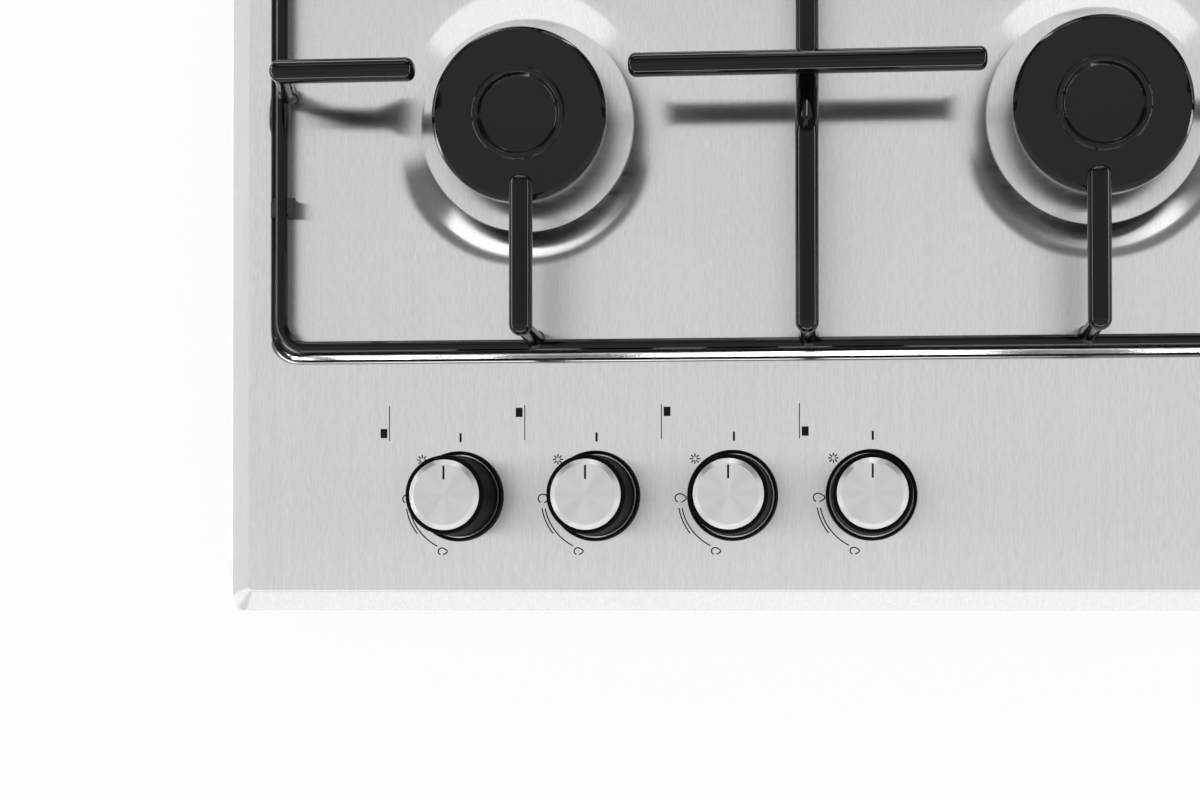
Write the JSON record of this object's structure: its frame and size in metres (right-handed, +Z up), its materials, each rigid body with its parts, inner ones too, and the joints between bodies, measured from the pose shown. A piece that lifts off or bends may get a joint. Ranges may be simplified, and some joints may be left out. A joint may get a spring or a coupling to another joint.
{
  "type": "gas cooktop",
  "caption": "Built-in gas hob: brushed steel plate with recessed burners, lift-off caps, a one-piece bar pan support and front press-and-turn knobs.",
  "frame": {"origin": "middle of the plate's outline, on the underside of the base tray", "axes": "+X to the cook's right, along the knob row; +Y to the back; +Z up"},
  "size_m": [0.58, 0.51, 0.0905],
  "materials": {
    "plate_steel": "brushed stainless, grain from front to back",
    "seal_foam": "closed-cell foam",
    "tray_steel": "galvanised sheet",
    "screw_steel": "zinc plated",
    "rail_steel": "drawn steel tube",
    "brass": "machined",
    "cast_aluminium": "die-cast, matt",
    "black_plastic": "moulded",
    "ceramic": "glazed white alumina",
    "pin_steel": "drawn stainless",
    "lead_silicone": "white silicone sleeve",
    "knob_black": "satin black",
    "turned_aluminium": "face-turned rings",
    "support_enamel": "glossy black vitreous enamel on steel",
    "pad_rubber": "moulded silicone",
    "pipe_aluminium": "drawn, soft",
    "cap_enamel": "glossy black vitreous enamel on steel"
  },
  "bodies": {
    "hob": {"top_plate": "plate_steel", "sealing_strip": "seal_foam", "base_tray": "tray_steel", "worktop_clamps": "tray_steel", "clamp_screws": "screw_steel", "gas_manifold": "rail_steel", "gas_inlet": "brass", "tap_covers": "cast_aluminium", "ignition_switches": "black_plastic", "injectors": "brass", "spark_electrodes": "ceramic", "electrode_tips": "pin_steel", "ignition_unit": "black_plastic", "ignition_leads": "lead_silicone", "cord_gland": "black_plastic", "knob_bezels": "knob_black", "tap_body_1": "cast_aluminium", "tap_body_2": "cast_aluminium", "tap_body_3": "cast_aluminium", "tap_body_4": "cast_aluminium", "supply_pipe_front_left": "pipe_aluminium", "burner_cup_front_left": "cast_aluminium", "supply_pipe_rear_left": "pipe_aluminium", "burner_cup_rear_left": "cast_aluminium", "supply_pipe_rear_right": "pipe_aluminium", "burner_cup_rear_right": "cast_aluminium", "supply_pipe_front_right": "pipe_aluminium", "burner_cup_front_right": "cast_aluminium"},
    "tap_plug_1": {"tap_plug_1": "brass"},
    "knob_1": {"spindle_1": "pin_steel", "knob_1": "knob_black", "knob_disc_1": "turned_aluminium"},
    "tap_plug_2": {"tap_plug_2": "brass"},
    "knob_2": {"spindle_2": "pin_steel", "knob_2": "knob_black", "knob_disc_2": "turned_aluminium"},
    "tap_plug_3": {"tap_plug_3": "brass"},
    "knob_3": {"spindle_3": "pin_steel", "knob_3": "knob_black", "knob_disc_3": "turned_aluminium"},
    "tap_plug_4": {"tap_plug_4": "brass"},
    "knob_4": {"spindle_4": "pin_steel", "knob_4": "knob_black", "knob_disc_4": "turned_aluminium"},
    "spreader_front_left": {"flame_spreader_front_left": "cast_aluminium"},
    "cap_front_left": {"burner_cap_front_left": "cap_enamel"},
    "spreader_rear_left": {"flame_spreader_rear_left": "cast_aluminium"},
    "cap_rear_left": {"burner_cap_rear_left": "cap_enamel"},
    "spreader_rear_right": {"flame_spreader_rear_right": "cast_aluminium"},
    "cap_rear_right": {"burner_cap_rear_right": "cap_enamel"},
    "spreader_front_right": {"flame_spreader_front_right": "cast_aluminium"},
    "cap_front_right": {"burner_cap_front_right": "cap_enamel"},
    "pan_support": {"perimeter_frame": "support_enamel", "side_fingers": "support_enamel", "end_fingers": "support_enamel", "cross_bars": "support_enamel", "middle_fingers": "support_enamel", "spine": "support_enamel", "middle_bars": "support_enamel", "rubber_pads": "pad_rubber"}
  },
  "joints": [
    {"name": "tap_turn_1", "type": "hinge", "parent": "hob", "child": "tap_plug_1", "pos_m": [-0.1731, -0.1975, 0.036], "axis": [0, 0, 1], "range_deg": [0, 170]},
    {"name": "knob_press_1", "type": "slide", "parent": "tap_plug_1", "child": "knob_1", "axis": [0, 0, -1], "range_m": [0, 0.0025], "stiffness_N_per_m": 1200, "springref_m": -0.002},
    {"name": "tap_turn_2", "type": "hinge", "parent": "hob", "child": "tap_plug_2", "pos_m": [-0.1053, -0.1975, 0.036], "axis": [0, 0, 1], "range_deg": [0, 170]},
    {"name": "knob_press_2", "type": "slide", "parent": "tap_plug_2", "child": "knob_2", "axis": [0, 0, -1], "range_m": [0, 0.0025], "stiffness_N_per_m": 1200, "springref_m": -0.002},
    {"name": "tap_turn_3", "type": "hinge", "parent": "hob", "child": "tap_plug_3", "pos_m": [-0.0375, -0.1975, 0.036], "axis": [0, 0, 1], "range_deg": [0, 170]},
    {"name": "knob_press_3", "type": "slide", "parent": "tap_plug_3", "child": "knob_3", "axis": [0, 0, -1], "range_m": [0, 0.0025], "stiffness_N_per_m": 1200, "springref_m": -0.002},
    {"name": "tap_turn_4", "type": "hinge", "parent": "hob", "child": "tap_plug_4", "pos_m": [0.0303, -0.1975, 0.036], "axis": [0, 0, 1], "range_deg": [0, 170]},
    {"name": "knob_press_4", "type": "slide", "parent": "tap_plug_4", "child": "knob_4", "axis": [0, 0, -1], "range_m": [0, 0.0025], "stiffness_N_per_m": 1200, "springref_m": -0.002},
    {"name": "spreader_lift_front_left", "type": "slide", "parent": "hob", "child": "spreader_front_left", "axis": [0, 0, 1], "range_m": [0, 0.009]},
    {"name": "cap_lift_front_left", "type": "slide", "parent": "spreader_front_left", "child": "cap_front_left", "axis": [0, 0, 1], "range_m": [0, 0.0055]},
    {"name": "spreader_lift_rear_left", "type": "slide", "parent": "hob", "child": "spreader_rear_left", "axis": [0, 0, 1], "range_m": [0, 0.009]},
    {"name": "cap_lift_rear_left", "type": "slide", "parent": "spreader_rear_left", "child": "cap_rear_left", "axis": [0, 0, 1], "range_m": [0, 0.0055]},
    {"name": "spreader_lift_rear_right", "type": "slide", "parent": "hob", "child": "spreader_rear_right", "axis": [0, 0, 1], "range_m": [0, 0.009]},
    {"name": "cap_lift_rear_right", "type": "slide", "parent": "spreader_rear_right", "child": "cap_rear_right", "axis": [0, 0, 1], "range_m": [0, 0.0055]},
    {"name": "spreader_lift_front_right", "type": "slide", "parent": "hob", "child": "spreader_front_right", "axis": [0, 0, 1], "range_m": [0, 0.009]},
    {"name": "cap_lift_front_right", "type": "slide", "parent": "spreader_front_right", "child": "cap_front_right", "axis": [0, 0, 1], "range_m": [0, 0.0055]},
    {"name": "pan_support_lift", "type": "slide", "parent": "hob", "child": "pan_support", "axis": [0, 0, 1], "range_m": [0, 0.06]}
  ]
}
